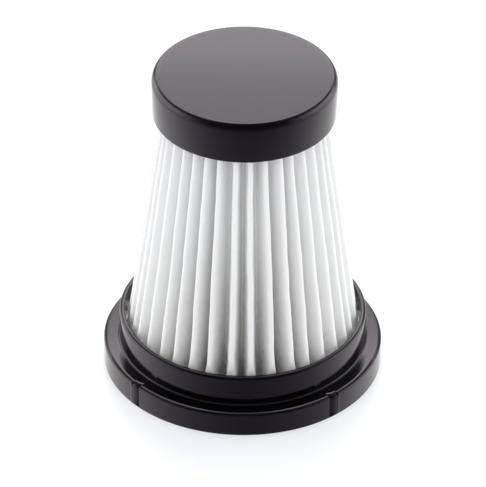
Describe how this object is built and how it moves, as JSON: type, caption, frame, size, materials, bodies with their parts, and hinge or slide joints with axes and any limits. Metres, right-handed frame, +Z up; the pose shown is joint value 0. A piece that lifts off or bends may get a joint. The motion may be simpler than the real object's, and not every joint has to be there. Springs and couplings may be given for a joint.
{
  "type": "vacuum hepa filter",
  "caption": "Conical pleated filter cartridge with a closed round cap and a notched flanged base ring, for a handheld vacuum cleaner.",
  "frame": {"origin": "centre of the base ring's underside, on the cartridge's axis", "axes": "+Z up along the cartridge's axis from the base ring to the end cap; the notches in the flange lie midway between X and Y"},
  "size_m": [0.078, 0.078, 0.0938],
  "materials": {
    "moulded_plastic": "gloss",
    "filter_sheet": "matt fibrous",
    "cage_plastic": "satin",
    "adhesive": "cast"
  },
  "bodies": {
    "root": {"base_ring": "moulded_plastic", "end_cap": "moulded_plastic", "pleated_media": "filter_sheet", "support_cage": "cage_plastic", "base_adhesive": "adhesive", "cap_adhesive": "adhesive"}
  },
  "joints": []
}
